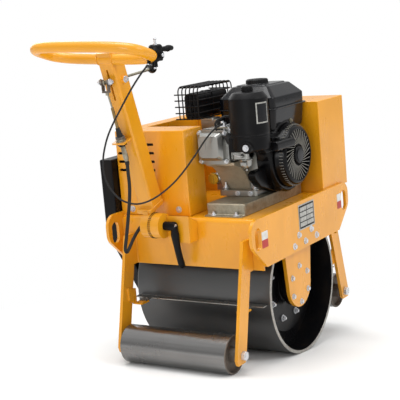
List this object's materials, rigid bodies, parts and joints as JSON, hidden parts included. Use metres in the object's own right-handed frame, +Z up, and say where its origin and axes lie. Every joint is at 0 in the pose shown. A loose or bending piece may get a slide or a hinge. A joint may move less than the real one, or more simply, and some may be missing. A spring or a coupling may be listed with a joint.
{
  "type": "walk-behind single-drum road roller",
  "caption": "Walk-behind road roller with a single steel drum, small support rollers front and rear, a petrol engine on the deck and a tilting control handle.",
  "frame": {"origin": "middle of the footprint box, on the ground, with the machine parked on its drum and rear support roller", "axes": "+X towards the front (away from the operator), +Y to the operator's left, +Z up"},
  "size_m": [1.0748, 0.5504, 0.9472],
  "materials": {
    "yellow_paint": "gloss enamel",
    "black_paint": "satin",
    "black_plastic": "moulded",
    "drum_steel": "rolled steel, satin",
    "zinc": "zinc plated",
    "cast_alloy": "as cast",
    "rubber": "matt"
  },
  "bodies": {
    "frame": {"air_cleaner": "black_plastic", "arm_front_left": "yellow_paint", "arm_front_right": "yellow_paint", "arm_rear_left": "yellow_paint", "arm_rear_right": "yellow_paint", "axle_front": "zinc", "axle_rear": "zinc", "bearing_flange_left": "black_paint", "bearing_flange_right": "black_paint", "belt_guard": "black_paint", "blower_housing": "black_plastic", "carburettor": "cast_alloy", "clamp_lever": "black_plastic", "deck": "yellow_paint", "engine_block": "cast_alloy", "engine_mount": "zinc", "front_cover": "yellow_paint", "fuel_cap": "black_plastic", "fuel_tank": "black_paint", "handle_bracket": "yellow_paint", "hanger_left": "yellow_paint", "hanger_right": "yellow_paint", "muffler": "black_paint", "muffler_guard": "black_paint", "rear_cover": "yellow_paint", "recoil_starter": "black_plastic", "scraper_front": "zinc", "scraper_rear": "zinc", "side_cover": "yellow_paint", "side_plate_left": "yellow_paint", "side_plate_right": "yellow_paint", "throttle_cable": "rubber", "travel_cable": "rubber", "valve_cover": "cast_alloy"},
    "drum": {"drum_shell": "drum_steel", "drum_core": "black_paint"},
    "rear_roller": {"rear_roller_tube": "drum_steel", "rear_roller_core": "black_paint"},
    "front_roller": {"front_roller_tube": "drum_steel", "front_roller_core": "black_paint"},
    "handle": {"cable_bracket": "yellow_paint", "control_rod": "zinc", "handle_column": "yellow_paint", "handle_loop": "yellow_paint", "throttle_lever": "black_plastic", "travel_lever": "zinc"}
  },
  "joints": [
    {"name": "drum_roll", "type": "hinge", "parent": "frame", "child": "drum", "pos_m": [0.12369, -0.02315, 0.2125], "axis": [0, 1, 0], "continuous": true},
    {"name": "rear_roller_roll", "type": "hinge", "parent": "frame", "child": "rear_roller", "pos_m": [-0.2077, -0.02315, 0.057], "axis": [0, 1, 0], "continuous": true},
    {"name": "front_roller_roll", "type": "hinge", "parent": "frame", "child": "front_roller", "pos_m": [0.4804, -0.02315, 0.13035], "axis": [0, 1, 0], "continuous": true},
    {"name": "handle_tilt", "type": "hinge", "parent": "frame", "child": "handle", "pos_m": [-0.20477, 0.08585, 0.41634], "axis": [0, -1, 0], "range_deg": [-3, 70], "deforming": ["travel_cable", "throttle_cable"]}
  ]
}
